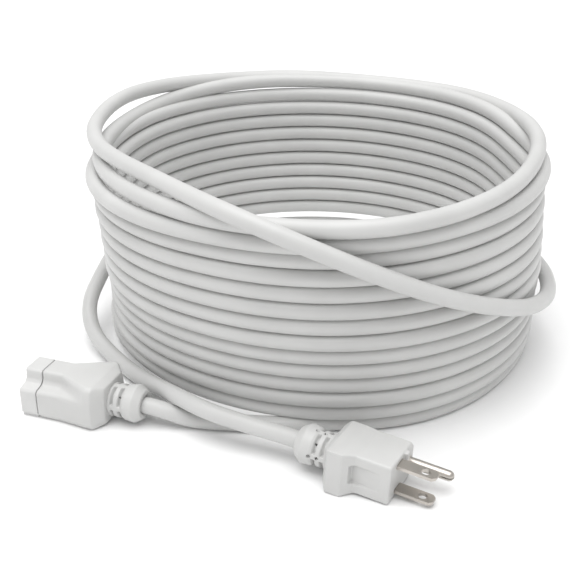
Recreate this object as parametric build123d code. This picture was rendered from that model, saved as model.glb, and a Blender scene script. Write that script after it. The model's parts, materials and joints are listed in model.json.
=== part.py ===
from build123d import *
import math
import os

# A three-core extension cord, stood up as a tall single-layer coil, with its moulded plug and
# its moulded connector lying on the surface in front of it.
# Millimetres, +Z up. The origin is on the resting surface, under the middle of the whole object.
# Each end is drawn in a frame of its own: +X out of its front face, +Z up, and the cord's line on
# the X axis. The plug lies with its ground pin towards +Y and its blades one above the other.
# The connector lies with its ground socket on top.

# ---- driving dimensions -------------------------------------------------------------------

CORD_D = 8.2                   # outside diameter of the jacket, three 16 AWG cores

COIL_AT = (11.0, 18.5)         # the coil's middle
COIL_HEIGHT = 111.0            # height of the close turns
COIL_R_BOTTOM = 105.6          # cord centre line at the front of the lowest turn
COIL_R_TOP = 120.0             # and of the highest
COIL_SWELL = 0.7               # below 1, the wall flares quickly low down and slowly higher up
COIL_BEVEL = 2.4
# The turns are not round: how much further out than at the front they lie, every 30 degrees
# round the coil from +X, for the lowest turn, for those halfway up and for the highest.
OUT_LOWEST = [7.5, 8.0, 8.0, 7.0, 8.5, 10.5, 9.0, -1.0, -3.5, 0.0, 2.0, 2.0]
OUT_HALFWAY = [-2.0, -2.0, 0.0, 3.5, 3.0, 0.0, 0.0, -2.0, -3.5, 0.0, 0.0, -1.0]
OUT_HIGHEST = [-4.5, -3.5, 0.5, 4.0, 4.5, 1.0, 5.0, 1.0, -2.5, 0.0, -6.0, -8.5]

PLUG_AT = (28.4, -155.7, 10.0) # middle of the plug's front face, from the coil's middle
PLUG_TURN = -28.8              # degrees about Z
PLUG_DIP = 3.0                 # degrees that the nose points down, as it rests on its shoulder

CONNECTOR_AT = (-144.0, -79.8, 10.3)
CONNECTOR_TURN = 160.5

BLADE_WIDTH = 6.35
BLADE_THICK = 1.52
BLADE_LENGTH = 17.3            # out of the plug's face
BLADE_OFFSET = 6.35            # from the cord's line to the middle of each blade
BLADE_HOLE_D = 3.96
BLADE_HOLE_X = 11.9
GROUND_PIN_D = 4.76
GROUND_PIN_ROOT_D = 5.8        # its thicker root inside the body
GROUND_PIN_LENGTH = 21.0
GROUND_OFFSET = 11.89          # from the line between the blades to the ground pin

BARREL_D = 3.4                 # crimp barrels on the back of every blade and contact
COPPER_D = 1.4
INSULATION_D = 2.5

PLUG_REAR = -31.0              # where the plug's body ends and its strain relief starts
PLUG_HALF = 9.8                # half the thickness of the block behind the blades
SHOULDER_HALF = 11.0
FACE_RIB = (1.6, 4.5)          # how far it stands out of the face, and the height it starts at

CONNECTOR_REAR = -44.0
CAP_DEPTH = 8.8                # the hard face of the connector
PARTING = 0.4                  # open line between the face and the moulded body
SLOT_HEIGHT_LINE = 7.0
SLOT_HEIGHT_NEUTRAL = 8.1
SLOT_WIDTH = 2.0
SOCKET_Z = -4.7                # height of the two slots on the cord's line
GROUND_SOCKET_D = 5.4
FACE_WALL = 2.6

BOOT_LENGTH = 16.5             # segmented strain relief, the same on both ends
BOOT_BORE = 6.0                # depth of its wider mouth, which the loose cord ends in
BOOT_CLEARANCE = 0.3           # all round the loose cord in that mouth
CORD_RUN_OUT = 8.0             # straight cord outside the strain relief
JACKET_INSIDE = 4.0            # how far the cord's end reaches into the moulded body

# Route of the loose cord, from the highest turn to the plug: a last loose turn round the back,
# across the front of the coil on its outside, round the back again at a third of the height,
# down on the left, and over the connector's lead. Measured from the coil's middle.
# The first list is (degrees round the coil, distance from its middle, height).
WRAP = [
    (78, 123.0, 112.7),
    (97, 128.0, 114.0),
    (117, 126.5, 115.4),
    (136, 126.5, 118.0),
    (154, 128.0, 119.0),
    (171, 126.0, 113.8),
    (187, 118.0, 112.9),
    (204, 110.5, 114.3),
    (222, 108.0, 115.0),
    (238, 115.0, 115.4),
    (252, 127.0, 114.6),
    (265, 129.0, 104.8),
    (279, 127.0, 90.0),
    (293, 125.5, 75.0),
    (308, 124.0, 61.2),
    (324, 124.0, 48.5),
    (342, 124.5, 39.5),
    (2, 124.5, 36.2),
    (24, 124.0, 35.6),
    (48, 124.5, 35.2),
    (74, 127.0, 34.8),
    (100, 128.0, 34.6),
    (125, 127.0, 35.0),
    (144, 126.0, 35.0),
]
# The second is plain (x, y, height), from there to the plug.
PLUG_LEAD = [
    (-121.0, 41.0, 32.0),
    (-126.5, 14.0, 25.5),
    (-130.2, -9.3, 19.2),
    (-125.2, -27.4, 9.8),
    (-109.5, -46.5, 4.3),
    (-91.5, -70.3, 6.0),
    (-74.5, -97.3, 15.4),
    (-58.0, -114.5, 16.9),
    (-39.0, -122.2, 14.5),
]
CONNECTOR_LEAD = [
    (-65.5, -103.8, 4.1),
    (-40.0, -106.0, 4.1),
    (-20.5, -107.9, 4.1),
    (-5.0, -105.4, 4.1),
]

# ---- small helpers ------------------------------------------------------------------------


def box(x, y, z):
    """A box from its (low, high) on each axis."""
    size = [b - a for a, b in (x, y, z)]
    return Pos(*[(a + b) / 2 for a, b in (x, y, z)]) * Box(*size)


def rod(diameter, x_low, x_high, y=0.0, z=0.0):
    """A round bar along X."""
    length = x_high - x_low
    return Pos((x_low + x_high) / 2, y, z) * Rot(0, 90, 0) * Cylinder(diameter / 2, length)


def prism_xy(points, z_low, z_high):
    """An outline in X and Y, raised from z_low to z_high."""
    face = make_face(Polyline(*[(x, y, z_low) for x, y in points], close=True))
    return extrude(face, amount=z_high - z_low, dir=(0, 0, 1))


def prism_xz(points, y_low, y_high):
    """An outline in X and Z, carried from y_low to y_high."""
    face = make_face(Polyline(*[(x, y_low, z) for x, z in points], close=True))
    return extrude(face, amount=y_high - y_low, dir=(0, 1, 0))


def section(x, points):
    """A closed outline of (y, z) points that stands across X."""
    return make_face(Polyline(*[(x, y, z) for y, z in points], close=True))


def mirrored(half):
    """Both sides of an outline given from its bottom to its top on the +Y side."""
    return half + [(-y, z) for y, z in reversed(half)]


def bend_radii(points):
    """The largest arc that each corner's two runs leave room for."""
    radii = []
    for a, b, c in zip(points, points[1:], points[2:]):
        before = Vector(*b) - Vector(*a)
        after = Vector(*c) - Vector(*b)
        half_turn = math.radians(before.get_angle(after)) / 2
        radii.append(0.45 * min(before.length, after.length) / math.tan(half_turn))
    return radii


def tube(points, diameter):
    """A round solid along straight runs joined by tangent arcs."""
    path = FilletPolyline(*points, radius=bend_radii(points))
    across = Plane(origin=path @ 0, z_dir=path % 0) * Circle(diameter / 2)
    return sweep(across, path=path), path.length


def one_solid(shape):
    """The shape as a single solid."""
    solids = shape.solids()
    return max(solids, key=lambda s: s.volume)


# ---- the coil and the loose cord ------------------------------------------------------------


def coil_radius(step, height):
    """Distance from the coil's middle to the cord's centre, at a twelfth of a turn and a height."""
    part = height / COIL_HEIGHT
    front = COIL_R_BOTTOM + (COIL_R_TOP - COIL_R_BOTTOM) * part**COIL_SWELL
    lowest = 2 * (part - 0.5) * (part - 1) * OUT_LOWEST[step]
    halfway = 4 * part * (1 - part) * OUT_HALFWAY[step]
    highest = 2 * part * (part - 0.5) * OUT_HIGHEST[step]
    return front + lowest + halfway + highest


def coil_rings(offset, bevel):
    """Closed outlines up the wall, at a distance from the cord's centre line."""
    heights = [0.0, COIL_BEVEL, 20.0, 45.0, 75.0, COIL_HEIGHT - COIL_BEVEL, COIL_HEIGHT]
    rings = []
    for height in heights:
        inset = bevel if height in (0.0, COIL_HEIGHT) else 0.0
        away = offset - inset
        points = [round_coil(30 * step, coil_radius(step, height) + away, height) for step in range(12)]
        rings.append(make_face(Spline(*points, periodic=True)))
    return rings


def make_coil():
    """The close turns, as one wall of the cord's thickness."""
    outside = loft(coil_rings(CORD_D / 2, COIL_BEVEL), ruled=True)
    inside = loft(coil_rings(-CORD_D / 2, -COIL_BEVEL), ruled=True)
    return outside - inside


def on_coil(x, y, z):
    """A point measured from the coil's middle, in the object's frame."""
    return COIL_AT[0] + x, COIL_AT[1] + y, z


def round_coil(degrees, radius, height):
    """The same for a point given by its angle and distance."""
    angle = math.radians(degrees)
    return on_coil(radius * math.cos(angle), radius * math.sin(angle), height)


# ---- strain relief and cord ends, the same on both ends -------------------------------------


def make_boot(x_front):
    """Segmented strain relief: a slotted neck, a flared collar and a bevelled end."""
    x_end = x_front - BOOT_LENGTH
    outline = [
        (x_front, 0.0),
        (x_front, 8.2),
        (x_front - 7.4, 8.2),
        (x_front - 7.4, 8.6),
        (x_front - 13.0, 9.3),
        (x_end, 6.9),
        (x_end, 0.0),
    ]
    face = make_face(Polyline(*[(x, 0, r) for x, r in outline], close=True))
    boot = revolve(face, axis=Axis.X)
    for x_slot in (x_front - 2.0, x_front - 5.6):
        for quarter in range(4):
            slot = box((x_slot - 0.9, x_slot + 0.9), (-4.7, 4.7), (5.6, 10.0))
            boot -= Rot(90 * quarter + 45, 0, 0) * slot
    boot -= rod(CORD_D, x_end - 1, x_front + 1)
    boot -= rod(CORD_D + 2 * BOOT_CLEARANCE, x_end - 1, x_end + BOOT_BORE)
    return one_solid(boot)


def make_wires(jacket_x, barrels, barrel_x):
    """Three insulated cores from the cut jacket to their barrels, and the bare copper in each."""
    insulation = []
    copper = []
    for (y, z), (y_start, z_start) in barrels:
        points = [
            (jacket_x, y_start, z_start),
            (jacket_x + 2.2, y_start, z_start),
            (barrel_x - 4.4, y, z),
            (barrel_x - 1.6, y, z),
        ]
        insulation.append(tube(points, INSULATION_D)[0])
        copper.append(rod(COPPER_D, barrel_x - 1.6, barrel_x + 4.4, y, z))
    return insulation, copper


def core_starts(toward):
    """Where the three cores leave the cut jacket, the first on the side of each angle given."""
    around = 1.75
    starts = []
    for degrees in toward:
        angle = math.radians(degrees)
        starts.append((around * math.cos(angle), around * math.sin(angle)))
    return starts


# ---- the plug -------------------------------------------------------------------------------


def make_blade(z):
    """Flat blade with a hole, a rounded tip, a narrow tail and a crimp barrel."""
    half = BLADE_WIDTH / 2
    tip = BLADE_LENGTH
    outline = [
        (tip, -1.5),
        (tip, 1.5),
        (tip - 1.7, half),
        (-9.5, half),
        (-10.5, 1.5),
        (-13.5, 1.5),
        (-13.5, -1.5),
        (-10.5, -1.5),
        (-9.5, -half),
        (tip - 1.7, -half),
    ]
    low = z - BLADE_THICK / 2
    high = z + BLADE_THICK / 2
    blade = prism_xy(outline, low, high)
    blade += rod(BARREL_D, -18.5, -13.0, 0, z)
    blade -= rod(COPPER_D, -19.0, -14.1, 0, z)
    hole = Pos(BLADE_HOLE_X, 0, z) * Cylinder(BLADE_HOLE_D / 2, 2 * BLADE_THICK)
    blade -= hole
    tip_edges = blade.edges().filter_by(lambda e: e.center().X > tip - 1.0)
    return one_solid(chamfer(tip_edges.filter_by(Axis.Y), 0.4))


def make_ground_pin():
    """Round pin with a domed, split tip, and its crimp barrel."""
    y = GROUND_OFFSET
    radius = GROUND_PIN_D / 2
    pin = rod(GROUND_PIN_ROOT_D, -9.5, 0.0, y)
    pin += rod(GROUND_PIN_D, 0.0, GROUND_PIN_LENGTH - radius, y)
    pin += Pos(GROUND_PIN_LENGTH - radius, y, 0) * Sphere(radius)
    pin -= box((GROUND_PIN_LENGTH - 5.0, GROUND_PIN_LENGTH + 1), (y - 3, y), (-0.25, 0.25))
    pin += rod(BARREL_D, -18.5, -9.0, y - 0.6)
    pin -= rod(COPPER_D, -19.0, -14.1, y - 0.6)
    return one_solid(pin)


def make_plug_outside():
    """Outer shape of the plug's body: a block, and a wider shoulder behind it."""
    from_above = [
        (0.0, -9.5),
        (0.0, 16.0),
        (-16.0, 16.0),
        (-20.0, 17.0),
        (-27.0, 15.5),
        (PLUG_REAR, 10.0),
        (PLUG_REAR, -9.5),
        (-28.0, -13.8),
        (-21.0, -13.8),
        (-16.5, -9.5),
    ]
    from_side = [
        (0.0, -PLUG_HALF),
        (0.0, PLUG_HALF),
        (-16.0, PLUG_HALF),
        (-21.0, SHOULDER_HALF),
        (-28.0, SHOULDER_HALF),
        (PLUG_REAR, 8.6),
        (PLUG_REAR, -8.6),
        (-28.0, -SHOULDER_HALF),
        (-21.0, -SHOULDER_HALF),
        (-16.0, -PLUG_HALF),
    ]
    body = prism_xy(from_above, -20, 20) & prism_xz(from_side, -20, 20)
    for side in (1, -1):
        corner = [(10.8, side * 12.5), (18.5, side * 12.5), (18.5, side * 3.2)]
        body -= extrude(section(-35, corner), amount=40, dir=(1, 0, 0))
    long_edges = body.edges().filter_by(lambda e: e.center().X > -16 and e.length > 14)
    body = fillet(long_edges, 1.1)
    body += box((-1.0, FACE_RIB[0]), (4.6, 7.6), (FACE_RIB[1], 9.0))
    grip = [(-18.5, -9.4), (-18.5, -7.9), (-5.0, -9.4), (-5.0, -14.0), (-18.5, -14.0)]
    return one_solid(body - prism_xy(grip, -4.8, 4.8))


def make_plug():
    """Every piece of the plug, by name, in the plug's frame."""
    jacket_x = PLUG_REAR + JACKET_INSIDE
    blades = {"plug_neutral_blade": make_blade(BLADE_OFFSET), "plug_line_blade": make_blade(-BLADE_OFFSET)}
    pin = make_ground_pin()
    bridge_room = box((-9.0, -2.0), (-5.4, 15.0), (-8.0, 8.0))
    bridge = bridge_room
    for metal in (*blades.values(), pin):
        bridge -= metal
    barrels = [(0.0, BLADE_OFFSET), (0.0, -BLADE_OFFSET), (GROUND_OFFSET - 0.6, 0.0)]
    starts = core_starts([120, 240, 0])
    insulation, copper = make_wires(jacket_x, list(zip(barrels, starts)), -18.5)
    jacket = rod(CORD_D, PLUG_REAR - BOOT_LENGTH + BOOT_BORE, jacket_x)
    pieces = dict(blades)
    pieces["plug_ground_pin"] = pin
    for name, core, strands in zip(("neutral", "line", "ground"), insulation, copper):
        pieces[f"plug_{name}_core"] = core
        pieces[f"plug_{name}_copper"] = strands
    pieces["plug_cord_end"] = jacket
    body = make_plug_outside() - bridge_room
    for piece in pieces.values():
        body -= piece
    pieces["plug_bridge"] = one_solid(bridge)
    pieces["plug_body"] = one_solid(body)
    pieces["plug_strain_relief"] = make_boot(PLUG_REAR)
    return pieces


# ---- the connector --------------------------------------------------------------------------

CONNECTOR_HALF_OUTLINE = [
    (13.0, -10.3),
    (13.0, -8.4),
    (14.0, -8.4),
    (14.0, 3.6),
    (12.8, 4.8),
    (8.4, 5.6),
    (6.9, 7.4),
    (6.5, 11.2),
    (5.5, 12.2),
]
CONNECTOR_REAR_OUTLINE = [
    (14.0, -10.3),
    (15.2, -9.0),
    (16.0, -7.4),
    (16.2, 1.0),
    (16.2, 4.0),
    (15.9, 6.5),
    (15.5, 8.4),
    (14.6, 10.8),
    (13.0, 12.2),
]
INSERT_BLOCK = [((-10.2, 10.2), (-9.0, 0.4)), ((-4.4, 4.4), (-9.0, 11.0))]
INSERT_REAR = -29.0
CONTACT_X = (-22.0, -3.0)


def make_spring_contact(y):
    """Folded strip that grips a blade: two leaves, a bridge behind them, and a crimp barrel."""
    rear, front = CONTACT_X
    leaf = 0.6
    z_low = SOCKET_Z - 3.0
    z_high = SOCKET_Z + 3.0
    contact = box((rear, rear + leaf), (y - 1.9, y + 1.9), (z_low, z_high))
    for side in (1, -1):
        bent = [
            (rear, y + side * 1.3),
            (rear, y + side * 1.9),
            (rear + 9.0, y + side * 1.9),
            (rear + 13.0, y + side * 1.25),
            (front, y + side * 1.9),
            (front, y + side * 1.3),
            (rear + 13.0, y + side * 0.65),
            (rear + 9.0, y + side * 1.3),
        ]
        contact += prism_xy(bent, z_low, z_high)
    contact += rod(BARREL_D, rear - 5.5, rear + 0.1, y, SOCKET_Z)
    contact -= rod(COPPER_D, rear - 6.0, rear - 1.1, y, SOCKET_Z)
    return one_solid(contact)


def make_ground_contact(z):
    """Slit tube that grips the ground pin, and its crimp barrel."""
    rear, front = CONTACT_X
    contact = rod(6.2, rear, front, 0, z) - rod(4.8, rear + 1.0, front + 1, 0, z)
    contact -= box((rear + 3.0, front + 1), (-0.5, 0.5), (z, z + 4))
    contact += rod(BARREL_D, rear - 5.5, rear + 0.1, 0, z)
    contact -= rod(COPPER_D, rear - 6.0, rear - 1.1, 0, z)
    return one_solid(contact)


def make_connector_face(ground_z):
    """Hard face of the connector, with the block behind it that holds the contacts."""
    outline = section(-CAP_DEPTH, mirrored(CONNECTOR_HALF_OUTLINE))
    face = extrude(outline, amount=CAP_DEPTH, dir=(1, 0, 0))
    for y, z in INSERT_BLOCK:
        face += box((INSERT_REAR, -CAP_DEPTH + 1), y, z)
    rear, front = CONTACT_X
    cells = rod(7.4, rear - 0.6, -FACE_WALL, 0, ground_z)
    cells += rod(BARREL_D, INSERT_REAR - 1, rear, 0, ground_z)
    cells += rod(GROUND_SOCKET_D, -FACE_WALL - 1, 1, 0, ground_z)
    for y, height in ((BLADE_OFFSET, SLOT_HEIGHT_NEUTRAL), (-BLADE_OFFSET, SLOT_HEIGHT_LINE)):
        slot_z = (SOCKET_Z - height / 2, SOCKET_Z + height / 2)
        slot_y = (y - SLOT_WIDTH / 2, y + SLOT_WIDTH / 2)
        cells += box((rear - 0.6, -FACE_WALL), (y - 2.6, y + 2.6), (SOCKET_Z - 4.0, SOCKET_Z + 4.0))
        cells += box((-FACE_WALL - 1, 1), slot_y, slot_z)
        cells += rod(BARREL_D, INSERT_REAR - 1, rear, y, SOCKET_Z)
    return one_solid(face - cells)


def make_connector_outside():
    """Outer shape of the connector's body, from the parting line to the strain relief."""
    front = mirrored(CONNECTOR_HALF_OUTLINE)
    rear = mirrored(CONNECTOR_REAR_OUTLINE)
    shrunk = [(0.62 * y, 0.84 * z) for y, z in rear]
    sections = [
        section(-CAP_DEPTH - PARTING, front),
        section(-20.0, front),
        section(-36.0, rear),
        section(-39.5, rear),
        section(CONNECTOR_REAR, shrunk),
    ]
    return one_solid(loft(sections, ruled=True))


def make_connector():
    """Every piece of the connector, by name, in the connector's frame."""
    ground_z = SOCKET_Z + GROUND_OFFSET
    jacket_x = CONNECTOR_REAR + JACKET_INSIDE
    barrel_x = CONTACT_X[0] - 5.5
    contacts = {
        "connector_neutral_contact": make_spring_contact(BLADE_OFFSET),
        "connector_line_contact": make_spring_contact(-BLADE_OFFSET),
        "connector_ground_contact": make_ground_contact(ground_z),
    }
    barrels = [(BLADE_OFFSET, SOCKET_Z), (-BLADE_OFFSET, SOCKET_Z), (0.0, ground_z)]
    starts = core_starts([330, 210, 90])
    insulation, copper = make_wires(jacket_x, list(zip(barrels, starts)), barrel_x)
    jacket = rod(CORD_D, CONNECTOR_REAR - BOOT_LENGTH + BOOT_BORE, jacket_x)
    pieces = dict(contacts)
    for name, core, strands in zip(("neutral", "line", "ground"), insulation, copper):
        pieces[f"connector_{name}_core"] = core
        pieces[f"connector_{name}_copper"] = strands
    pieces["connector_cord_end"] = jacket
    body = make_connector_outside()
    for y, z in INSERT_BLOCK:
        body -= box((INSERT_REAR, 0), y, z)
    for piece in pieces.values():
        body -= piece
    pieces["connector_face"] = make_connector_face(ground_z)
    pieces["connector_body"] = one_solid(body)
    pieces["connector_strain_relief"] = make_boot(CONNECTOR_REAR)
    return pieces


# ---- putting it together --------------------------------------------------------------------

plug_place = Pos(*on_coil(*PLUG_AT)) * Rot(0, 0, PLUG_TURN) * Rot(0, PLUG_DIP, 0)
connector_place = Pos(*on_coil(*CONNECTOR_AT)) * Rot(0, 0, CONNECTOR_TURN)


def run_out(place, boot_front):
    """The straight end of a lead, from inside the strain relief to outside it."""
    boot_end = boot_front - BOOT_LENGTH
    along = (boot_end + BOOT_BORE - BOOT_CLEARANCE, boot_end - CORD_RUN_OUT)
    return [tuple((place * Pos(x, 0, 0)).position) for x in along]


plug_route = [round_coil(*point) for point in WRAP]
plug_route += [on_coil(*point) for point in PLUG_LEAD]
plug_route += reversed(run_out(plug_place, PLUG_REAR))
connector_route = run_out(connector_place, CONNECTOR_REAR)
connector_route += [on_coil(*point) for point in CONNECTOR_LEAD]

coil = one_solid(make_coil())
nodes = {"cord_coil": coil}
for name, route in (("cord_plug_lead", plug_route), ("cord_connector_lead", connector_route)):
    lead, length = tube(route, CORD_D)
    nodes[name] = one_solid(lead - coil)
    expected = math.pi * CORD_D**2 / 4 * length
    print(name, "radii", [round(r) for r in bend_radii(route)])
    print(name, "length", round(length), "volume / (section x length)", round(lead.volume / expected, 4))

for name, piece in make_plug().items():
    nodes[name] = plug_place * piece
for name, piece in make_connector().items():
    nodes[name] = connector_place * piece

os.makedirs("parts", exist_ok=True)
for name, shape in nodes.items():
    export_step(shape, f"parts/{name}.step")

whole = Compound(children=list(nodes.values())).bounding_box()
print("low", [round(v, 1) for v in whole.min], "high", [round(v, 1) for v in whole.max])
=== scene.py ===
import json
import math

import bpy
from mathutils import Matrix, Vector


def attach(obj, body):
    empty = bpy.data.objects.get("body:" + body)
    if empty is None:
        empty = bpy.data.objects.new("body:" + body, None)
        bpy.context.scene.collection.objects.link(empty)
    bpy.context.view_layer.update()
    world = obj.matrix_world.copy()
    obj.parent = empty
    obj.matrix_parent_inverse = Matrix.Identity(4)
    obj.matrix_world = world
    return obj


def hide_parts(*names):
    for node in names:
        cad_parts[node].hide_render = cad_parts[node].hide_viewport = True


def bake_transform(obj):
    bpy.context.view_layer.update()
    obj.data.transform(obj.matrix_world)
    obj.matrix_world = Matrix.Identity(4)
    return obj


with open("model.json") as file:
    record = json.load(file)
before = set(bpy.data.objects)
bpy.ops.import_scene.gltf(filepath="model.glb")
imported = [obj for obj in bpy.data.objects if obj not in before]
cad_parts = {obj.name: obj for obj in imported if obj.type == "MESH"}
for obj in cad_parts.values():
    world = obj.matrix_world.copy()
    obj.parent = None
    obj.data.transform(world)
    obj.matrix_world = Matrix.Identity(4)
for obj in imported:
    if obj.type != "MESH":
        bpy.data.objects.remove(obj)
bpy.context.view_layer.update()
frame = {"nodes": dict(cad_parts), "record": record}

# ---- sizes, in metres ------------------------------------------------------------------------

MM = 0.001

# The places of the coil and of both ends, the OUT lists, both leads, the strain reliefs' lengths and
# WRAP after its first three points repeat the CAD source. The turns' radii, the top turn and the lift
# round the back are only here, because the coil there is one wall.
CORD_D = 0.0082
COIL_AT = (0.0110, 0.0185)

# Distance from the coil's middle to the cord's centre, turn by turn from the lowest, where each
# passes the front. Every turn lies on the one below it, so these settle the heights too. These radii
# and the OUT lists are rounded from a least squares fit to the visible turns.
TURN_RADII = [
    0.1056, 0.1081, 0.1098, 0.1100, 0.1115, 0.1128, 0.1148,
    0.1149, 0.1158, 0.1158, 0.1166, 0.1160, 0.1186, 0.1200,
]
# How much further out than at the front the turns lie, every 30 degrees round the coil from +X,
# for the lowest turn, for those halfway up and for the highest.
OUT_LOWEST = [
    0.0075, 0.0080, 0.0080, 0.0070, 0.0085, 0.0105, 0.0090,
    -0.0010, -0.0035, 0.0000, 0.0020, 0.0020,
]
OUT_HALFWAY = [
    -0.0020, -0.0020, 0.0000, 0.0035, 0.0030, 0.0000, 0.0000,
    -0.0020, -0.0035, 0.0000, 0.0000, -0.0010,
]
OUT_HIGHEST = [
    -0.0045, -0.0035, 0.0005, 0.0040, 0.0045, 0.0010, 0.0050,
    0.0010, -0.0025, 0.0000, -0.0060, -0.0085,
]
TURN_STEPS = 24
CLOSE_TURNS = 12.5             # from there on the cord follows the points of TOP_TURN
LEAST_RISE = 0.0040            # from one turn to the next above it
BACK_LIFT = 0.0082             # how much higher the turns lie round the back than a level stack would
LIFT_STARTS = (8, 38)          # where the lift comes in and goes out, in degrees round the coil
LIFT_ENDS = (150, 185)
OPEN_TURNS = 2                 # the lowest turns, which open up round the back and make that height

# The last turns, as (degrees round the coil, distance from its middle, height): the highest close
# one, and the loose one that crosses the front and goes round the back.
TOP_TURN = [
    (106, 0.1235, 0.1124),
    (122, 0.1240, 0.1118),
    (140, 0.1235, 0.1098),
    (160, 0.1220, 0.1064),
    (178, 0.1197, 0.1044),
    (196, 0.1157, 0.1048),
    (212, 0.1140, 0.1057),
    (228, 0.1152, 0.1070),
    (245, 0.1185, 0.1080),
    (262, 0.1215, 0.1093),
    (278, 0.1228, 0.1095),
    (293, 0.1185, 0.1097),
    (307, 0.1140, 0.1099),
    (321, 0.1105, 0.1100),
    (335, 0.1087, 0.1101),
    (349, 0.1100, 0.1102),
    (3, 0.1145, 0.1104),
    (17, 0.1195, 0.1106),
    (31, 0.1235, 0.1109),
    (45, 0.1260, 0.1114),
    (60, 0.1260, 0.1112),
]
WRAP = [
    (78, 0.1275, 0.1112),
    (97, 0.1303, 0.1130),
    (117, 0.1300, 0.1142),
    (136, 0.1265, 0.1180),
    (154, 0.1280, 0.1190),
    (171, 0.1260, 0.1138),
    (187, 0.1180, 0.1129),
    (204, 0.1105, 0.1143),
    (222, 0.1080, 0.1150),
    (238, 0.1150, 0.1154),
    (252, 0.1270, 0.1146),
    (265, 0.1290, 0.1048),
    (279, 0.1270, 0.0900),
    (293, 0.1255, 0.0750),
    (308, 0.1240, 0.0612),
    (324, 0.1240, 0.0485),
    (342, 0.1245, 0.0395),
    (2, 0.1245, 0.0362),
    (24, 0.1240, 0.0356),
    (48, 0.1245, 0.0352),
    (74, 0.1270, 0.0348),
    (100, 0.1280, 0.0346),
    (125, 0.1270, 0.0350),
    (144, 0.1260, 0.0350),
]
PLUG_LEAD = [
    (-0.1210, 0.0410, 0.0320),
    (-0.1265, 0.0140, 0.0255),
    (-0.1302, -0.0093, 0.0192),
    (-0.1252, -0.0274, 0.0098),
    (-0.1095, -0.0465, 0.0043),
    (-0.0915, -0.0703, 0.0060),
    (-0.0745, -0.0973, 0.0154),
    (-0.0580, -0.1145, 0.0169),
    (-0.0390, -0.1222, 0.0145),
]
CONNECTOR_LEAD = [
    (-0.0655, -0.1038, 0.0041),
    (-0.0400, -0.1060, 0.0041),
    (-0.0205, -0.1079, 0.0041),
    (-0.0050, -0.1054, 0.0041),
]

PLUG_AT = (0.0284, -0.1557, 0.0100)
PLUG_TURN = -28.8
PLUG_DIP = 3.0
CONNECTOR_AT = (-0.1440, -0.0798, 0.0103)
CONNECTOR_TURN = 160.5
PLUG_REAR = -0.0310
CONNECTOR_REAR = -0.0440
BOOT_LENGTH = 0.0165
BOOT_BORE = 0.0060
BOOT_CLEARANCE = 0.0003
CORD_RUN_OUT = 0.0080
JACKET_INSIDE = 0.0040

# The outside of a strain relief, as (distance behind the moulded body, radius) in millimetres.
BOOT_OUTLINE = [
    (0.0, 8.2), (7.6, 8.3), (8.2, 8.75), (12.4, 9.3), (13.0, 9.15), (16.2, 7.1), (16.5, 6.7),
]
# The rest of its sizes, also in millimetres, with angles in degrees.
SLOT_ROWS = (2.2, 6.3)
SLOT_HALF = 0.8
SLOT_DEPTH = 2.4
SLOT_LIP = (0.25, 0.2)         # how far the rounded lip reaches into the slot and out of it
BAR_HALF_ANGLE = 9.5           # half of the bar between two slots
BAR_LIP_ANGLE = 1.5
SLOT_MIDDLE = 45.0             # from the bar to the middle of a slot
BAR_HOLE_OFFSET = 1.9          # from the second row to the holes on the bars
HOLE_RADIUS = 0.72
HOLE_DEPTH = 3.7
RING_STEP = 0.25
BOOT_COLUMNS = 240
BORE_UNDER = 6                 # rings with a smaller radius belong to the inside
JACKET_WALL = 0.9
JACKET_STEPS = 16
JACKET_COLUMNS = 48


def on_coil(x, y, z):
    """A point measured from the coil's middle."""
    return Vector((COIL_AT[0] + x, COIL_AT[1] + y, z))


def round_coil(degrees, radius, height):
    """The same for a point given by its angle and distance."""
    angle = math.radians(degrees)
    return on_coil(radius * math.cos(angle), radius * math.sin(angle), height)


def end_place(at, turn, dip):
    """The frame of the plug or of the connector, with +X out of its front face."""
    turned = Matrix.Rotation(math.radians(turn), 4, "Z") @ Matrix.Rotation(math.radians(dip), 4, "Y")
    return Matrix.Translation(on_coil(*at)) @ turned


plug_place = end_place(PLUG_AT, PLUG_TURN, PLUG_DIP)
connector_place = end_place(CONNECTOR_AT, CONNECTOR_TURN, 0.0)

# ---- camera ----------------------------------------------------------------------------------

CAMERA_AT = (-0.01876, -0.50206, 0.26668)
CAMERA_DIP = 25.79

camera_data = bpy.data.cameras.new("camera")
camera_data.lens = 61.875
camera_data.sensor_width = 36
camera = bpy.data.objects.new("camera", camera_data)
camera.location = on_coil(*CAMERA_AT)
camera.rotation_euler = (math.radians(90 - CAMERA_DIP), 0, 0)
bpy.context.scene.collection.objects.link(camera)
bpy.context.scene.camera = camera

# ---- materials -------------------------------------------------------------------------------


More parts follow.
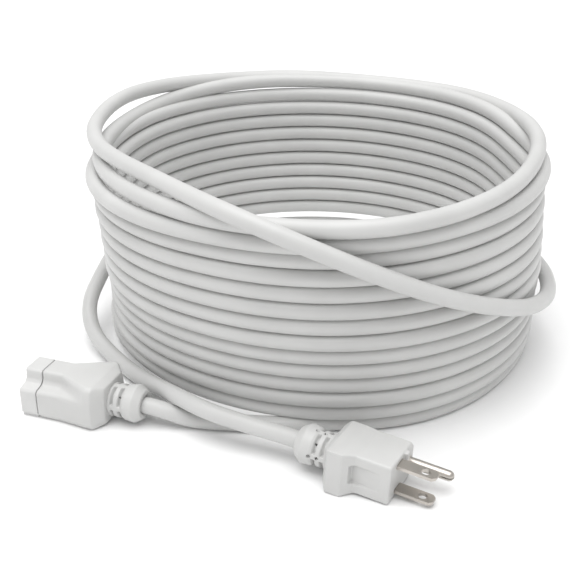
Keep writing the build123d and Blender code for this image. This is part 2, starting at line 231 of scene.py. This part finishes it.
def finish_of(name, colour, roughness, metallic=0.0, contrast=0.05, grain=500.0, relief=0.00003):
    """A material whose colour, gloss and surface all vary a little over the piece."""
    material = bpy.data.materials.new(name)
    material.use_nodes = True
    nodes = material.node_tree.nodes
    links = material.node_tree.links
    shader = nodes["Principled BSDF"]
    shader.inputs["Metallic"].default_value = metallic
    place = nodes.new("ShaderNodeTexCoord")

    cloud = nodes.new("ShaderNodeTexNoise")
    cloud.inputs["Scale"].default_value = 40.0
    cloud.inputs["Detail"].default_value = 5.0
    tones = nodes.new("ShaderNodeValToRGB")
    darker = [c * (1 - contrast) for c in colour]
    tones.color_ramp.elements[0].position = 0.35
    tones.color_ramp.elements[0].color = (*darker, 1)
    tones.color_ramp.elements[1].position = 0.65
    tones.color_ramp.elements[1].color = (*colour, 1)
    links.new(place.outputs["Object"], cloud.inputs["Vector"])
    links.new(cloud.outputs["Fac"], tones.inputs["Fac"])
    links.new(tones.outputs["Color"], shader.inputs["Base Color"])

    fine = nodes.new("ShaderNodeTexNoise")
    fine.inputs["Scale"].default_value = grain
    fine.inputs["Detail"].default_value = 3.0
    gloss = nodes.new("ShaderNodeMapRange")
    gloss.inputs["To Min"].default_value = roughness - 0.08
    gloss.inputs["To Max"].default_value = roughness + 0.08
    surface = nodes.new("ShaderNodeBump")
    surface.inputs["Strength"].default_value = 0.5
    surface.inputs["Distance"].default_value = relief
    links.new(place.outputs["Object"], fine.inputs["Vector"])
    links.new(fine.outputs["Fac"], gloss.inputs["Value"])
    links.new(gloss.outputs["Result"], shader.inputs["Roughness"])
    links.new(fine.outputs["Fac"], surface.inputs["Height"])
    links.new(surface.outputs["Normal"], shader.inputs["Normal"])
    return material


finishes = {
    "white_vinyl": finish_of("white_vinyl", (0.58, 0.58, 0.572), 0.42),
    "face_plastic": finish_of("face_plastic", (0.61, 0.61, 0.603), 0.36, grain=900.0),
    "bridge_plastic": finish_of("bridge_plastic", (0.62, 0.62, 0.58), 0.5),
    "nickel": finish_of("nickel", (0.56, 0.527, 0.487), 0.38, metallic=1.0, contrast=0.25, grain=1500.0),
    "contact_brass": finish_of("contact_brass", (0.65, 0.46, 0.18), 0.35, metallic=1.0),
    "copper": finish_of("copper", (0.72, 0.33, 0.18), 0.4, metallic=1.0),
    "core_white": finish_of("core_white", (0.70, 0.70, 0.70), 0.4),
    "core_black": finish_of("core_black", (0.02, 0.02, 0.02), 0.4),
    "core_green": finish_of("core_green", (0.03, 0.25, 0.08), 0.4),
}
# Near-black material for the insides of the small holes in the strain reliefs: painted shade, since the
# white vinyl in there only lies in shadow.
hole_painted_shade = finish_of("hole_painted_shade", (0.006, 0.006, 0.006), 0.8)

# ---- the cord --------------------------------------------------------------------------------


def ease(low, high, value):
    """From 0 at low to 1 at high, without a corner at either."""
    part = min(max((value - low) / (high - low), 0.0), 1.0)
    return part * part * (3 - 2 * part)


def back_lift(turn):
    """How much the cord is lifted round the back of the coil, after so many turns."""
    degrees = (360 * turn - 90) % 360
    over_the_back = ease(*LIFT_STARTS, degrees) * (1 - ease(*LIFT_ENDS, degrees))
    return BACK_LIFT * over_the_back * min(int(turn) / OPEN_TURNS, 1.0)


def out_of_round(turn):
    """How much further out than at the front the cord lies, after so many turns."""
    twelfths = (12 * turn - 3) % 12
    before = int(twelfths)
    part = twelfths - before
    spread = []
    for table in (OUT_LOWEST, OUT_HALFWAY, OUT_HIGHEST):
        a, b, c, d = [table[(before + step) % 12] for step in (-1, 0, 1, 2)]
        bend = (2 * a - 5 * b + 4 * c - d) * part + (3 * b - 3 * c + d - a) * part**2
        spread.append(b + part * (c - a + bend) / 2)
    lowest, halfway, highest = spread
    level = turn / (len(TURN_RADII) - 1)
    outer = 2 * (level - 0.5) * (level - 1) * lowest + 2 * level * (level - 0.5) * highest
    return outer + 4 * level * (1 - level) * halfway


def coil_turns():
    """Control points of the close turns, from the front of the lowest one up."""
    cut_inside = math.cos(math.pi / TURN_STEPS)
    radii = []
    heights = []
    points = []
    for step in range(int(CLOSE_TURNS * TURN_STEPS) + 1):
        turn = step / TURN_STEPS
        low = int(turn)
        part = turn - low
        radius = TURN_RADII[low] * (1 - part) + TURN_RADII[low + 1] * part + out_of_round(turn)
        if step < TURN_STEPS:
            height = CORD_D / 2 + CORD_D * turn**3
        else:
            wider = radius - radii[step - TURN_STEPS]
            height = heights[step - TURN_STEPS] + math.sqrt(max(CORD_D**2 - wider**2, LEAST_RISE**2))
        radii.append(radius)
        heights.append(height)
        points.append(round_coil(360 * turn - 90, radius / cut_inside, height + back_lift(turn)))
    return points[1:]


def run_out(place, boot_front):
    """The straight end of a lead, from inside the strain relief to outside it."""
    boot_end = boot_front - BOOT_LENGTH
    along = (boot_end + BOOT_BORE - BOOT_CLEARANCE, boot_end - CORD_RUN_OUT)
    return [place @ Vector((x, 0, 0)) for x in along]


def cord_route():
    """Every control point of the cord, from the connector to the plug."""
    route = run_out(connector_place, CONNECTOR_REAR)
    route += [on_coil(*point) for point in CONNECTOR_LEAD]
    route += coil_turns()
    route += [round_coil(*point) for point in TOP_TURN]
    route += [round_coil(*point) for point in WRAP]
    route += [on_coil(*point) for point in PLUG_LEAD]
    route += reversed(run_out(plug_place, PLUG_REAR))
    return route


def make_cord(route):
    """The cord as one smooth round curve through its route."""
    curve = bpy.data.curves.new("cord", "CURVE")
    curve.dimensions = "3D"
    spline = curve.splines.new("NURBS")
    spline.points.add(len(route) - 1)
    for point, place in zip(spline.points, route):
        point.co = (*place, 1.0)
    spline.order_u = 3
    spline.use_endpoint_u = True
    spline.resolution_u = 6
    curve.bevel_depth = CORD_D / 2
    curve.bevel_resolution = 6
    curve.use_fill_caps = True
    curve.materials.append(finishes["white_vinyl"])
    cord = bpy.data.objects.new("cord", curve)
    bpy.context.scene.collection.objects.link(cord)
    return cord


cord = make_cord(cord_route())
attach(cord, "cord")
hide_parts("cord_coil", "cord_plug_lead", "cord_connector_lead")

# ---- the moulded bodies ----------------------------------------------------------------------


def soften(name, body, place, voxel, rounds, finish):
    """A moulded piece with soft edges, worked from its CAD node in its own frame."""
    node = frame["nodes"][name]
    mesh = bpy.data.meshes.new_from_object(node)
    mesh.transform(place.inverted() @ node.matrix_world)
    mesh.materials.clear()
    mesh.materials.append(finishes[finish])
    piece = bpy.data.objects.new("moulded_" + name, mesh)
    bpy.context.scene.collection.objects.link(piece)
    remesh = piece.modifiers.new("even_skin", "REMESH")
    remesh.mode = "VOXEL"
    remesh.voxel_size = voxel
    remesh.use_smooth_shade = True
    smooth = piece.modifiers.new("soft_edges", "SMOOTH")
    smooth.factor = 0.5
    smooth.iterations = rounds
    softened = piece.evaluated_get(bpy.context.evaluated_depsgraph_get())
    piece.data = bpy.data.meshes.new_from_object(softened)
    piece.modifiers.clear()
    piece.data.transform(place)
    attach(piece, body)
    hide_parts(name)
    return piece


plug_body = soften("plug_body", "plug", plug_place, 0.32 * MM, 4, "white_vinyl")
soften("connector_body", "connector", connector_place, 0.4 * MM, 18, "white_vinyl")
soften("connector_face", "connector", connector_place, 0.32 * MM, 4, "face_plastic")

# ---- strain reliefs and the cord's ends inside them ------------------------------------------


def boot_radius(back):
    """Radius of the strain relief before its slots are cut."""
    for (x_near, r_near), (x_far, r_far) in zip(BOOT_OUTLINE, BOOT_OUTLINE[1:]):
        if back <= x_far:
            return r_near + (r_far - r_near) * (back - x_near) / (x_far - x_near)
    return BOOT_OUTLINE[-1][1]


def slot_depth(back, from_bar):
    """Depth of the slots at a place, with rounded lips."""
    deepest = 0.0
    for row in SLOT_ROWS:
        across = 1 - ease(SLOT_HALF - SLOT_LIP[0], SLOT_HALF + SLOT_LIP[1], abs(back - row))
        along = ease(BAR_HALF_ANGLE - BAR_LIP_ANGLE, BAR_HALF_ANGLE + BAR_LIP_ANGLE, from_bar)
        deepest = max(deepest, SLOT_DEPTH * across * along)
    return deepest


def angle_from_bar(degrees):
    """Angle to the nearest of the four bars."""
    return abs((degrees + 45) % 90 - 45)


def in_hole(back, from_bar, bar_holes):
    """True inside the small holes: mid slot in the second row, and on the bars either side of it."""
    arc = math.radians(1) * BOOT_OUTLINE[0][1]
    centres = [(SLOT_ROWS[1], SLOT_MIDDLE)]
    if bar_holes:
        centres += [(SLOT_ROWS[1] + side * BAR_HOLE_OFFSET, 0.0) for side in (-1, 1)]
    return any(math.hypot(back - x, (from_bar - a) * arc) < HOLE_RADIUS for x, a in centres)


def ring_mesh(name, place, x_front, rings, radius_at, columns):
    """A closed sleeve of rings, each joined to the next and the last to the first."""
    verts = []
    for index, (back, radius) in enumerate(rings):
        for column in range(columns):
            degrees = 360 * column / columns
            r = radius_at(back, radius, degrees) * MM
            angle = math.radians(degrees)
            verts.append(place @ Vector((x_front - back * MM, r * math.cos(angle), r * math.sin(angle))))
    faces = []
    for index in range(len(rings)):
        here = index * columns
        after = (index + 1) % len(rings) * columns
        for column in range(columns):
            right = (column + 1) % columns
            faces.append((here + column, here + right, after + right, after + column))
    mesh = bpy.data.meshes.new(name)
    mesh.from_pydata(verts, [], faces)
    mesh.shade_smooth()
    piece = bpy.data.objects.new(name, mesh)
    bpy.context.scene.collection.objects.link(piece)
    return piece


def make_boot(name, place, x_front, bar_holes):
    """Segmented strain relief: slots, small holes with painted shade inside, a flared collar and a
    bevelled end.
    """
    last_ring = int(BOOT_LENGTH / MM / RING_STEP)
    outside = [(RING_STEP * i, boot_radius(RING_STEP * i)) for i in range(last_ring + 1)]
    mouth = CORD_D / 2 / MM + BOOT_CLEARANCE / MM
    bore_end = (BOOT_LENGTH - BOOT_BORE) / MM
    inside = [(BOOT_LENGTH / MM - 0.2, mouth), (bore_end + 3, mouth), (bore_end, mouth)]
    inside += [(back, mouth - 0.25) for back in (bore_end - 0.3, 8.0, 6.0, 4.0, 2.0, 0.0)]

    def radius_at(back, radius, degrees):
        if radius < BORE_UNDER:
            return radius
        from_bar = angle_from_bar(degrees)
        if in_hole(back, from_bar, bar_holes):
            return boot_radius(back) - HOLE_DEPTH
        return radius - slot_depth(back, from_bar)

    boot = ring_mesh(name, place, x_front, outside + inside, radius_at, BOOT_COLUMNS)
    boot.data.materials.append(finishes["white_vinyl"])
    boot.data.materials.append(hole_painted_shade)
    # Faces inside the small holes get the near-black painted shade.
    for index, face in enumerate(boot.data.polygons):
        ring = index // BOOT_COLUMNS
        degrees = 360 * (index % BOOT_COLUMNS + 0.5) / BOOT_COLUMNS
        from_bar = angle_from_bar(degrees)
        if ring < len(outside) and in_hole((ring + 0.5) * RING_STEP, from_bar, bar_holes):
            face.material_index = 1
    return boot


def make_jacket(name, place, x_front):
    """The end of the cord's jacket, from the strain relief's bore into the moulded body."""
    first = -JACKET_INSIDE / MM
    last = (BOOT_LENGTH - BOOT_BORE) / MM
    backs = [first + (last - first) * i / JACKET_STEPS for i in range(JACKET_STEPS + 1)]
    outer = CORD_D / 2 / MM
    rings = [(back, outer) for back in backs]
    rings += [(back, outer - JACKET_WALL) for back in reversed(backs)]
    jacket = ring_mesh(name, place, x_front, rings, lambda back, radius, degrees: radius, JACKET_COLUMNS)
    jacket.data.materials.append(finishes["white_vinyl"])
    return jacket


def bend_with(piece, node):
    """Bakes the piece's place into its mesh and hides the CAD node that it stands in for."""
    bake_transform(piece)
    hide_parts(node)


plug_boot = make_boot("plug_boot", plug_place, PLUG_REAR, True)
bend_with(plug_boot, "plug_strain_relief")
connector_boot = make_boot("connector_boot", connector_place, CONNECTOR_REAR, False)
bend_with(connector_boot, "connector_strain_relief")
ends = (("plug", plug_place, PLUG_REAR), ("connector", connector_place, CONNECTOR_REAR))
for body, place, rear in ends:
    jacket = make_jacket(body + "_jacket_end", place, rear)
    bend_with(jacket, body + "_cord_end")

# ---- the pieces carried over from the CAD ----------------------------------------------------

for subpart in frame["record"]["subparts"]:
    node = frame["nodes"][subpart["node"]]
    for slot in node.material_slots:
        slot.material = finishes[subpart["material_slot"]]
    if subpart["material_slot"] == "nickel":
        edge = node.modifiers.new("rolled_edges", "BEVEL")
        edge.width = 0.18 * MM
        edge.segments = 2
        edge.limit_method = "ANGLE"
        edge.angle_limit = math.radians(40)

# ---- floor and light -------------------------------------------------------------------------

bpy.ops.mesh.primitive_plane_add(size=8)
floor = bpy.context.object
floor.name = "floor"
floor.data.materials.append(finish_of("floor", (0.93, 0.93, 0.93), 0.8, contrast=0.01))

scene = bpy.context.scene
scene.view_settings.view_transform = "Standard"
scene.world = scene.world or bpy.data.worlds.new("world")
scene.world.use_nodes = True
sky = scene.world.node_tree.nodes["Background"]
sky.inputs["Color"].default_value = (1, 1, 1, 1)
sky.inputs["Strength"].default_value = 0.68


def area_light(name, place, target, size, power):
    """A square soft light that faces its target."""
    light = bpy.data.lights.new(name, "AREA")
    light.size = size
    light.energy = power
    lamp = bpy.data.objects.new(name, light)
    lamp.location = place
    lamp.rotation_euler = (Vector(target) - Vector(place)).to_track_quat("-Z", "Y").to_euler()
    bpy.context.scene.collection.objects.link(lamp)


area_light("overhead_light", (-0.25, -0.25, 2.2), (0, 0, 0), 2.4, 52)
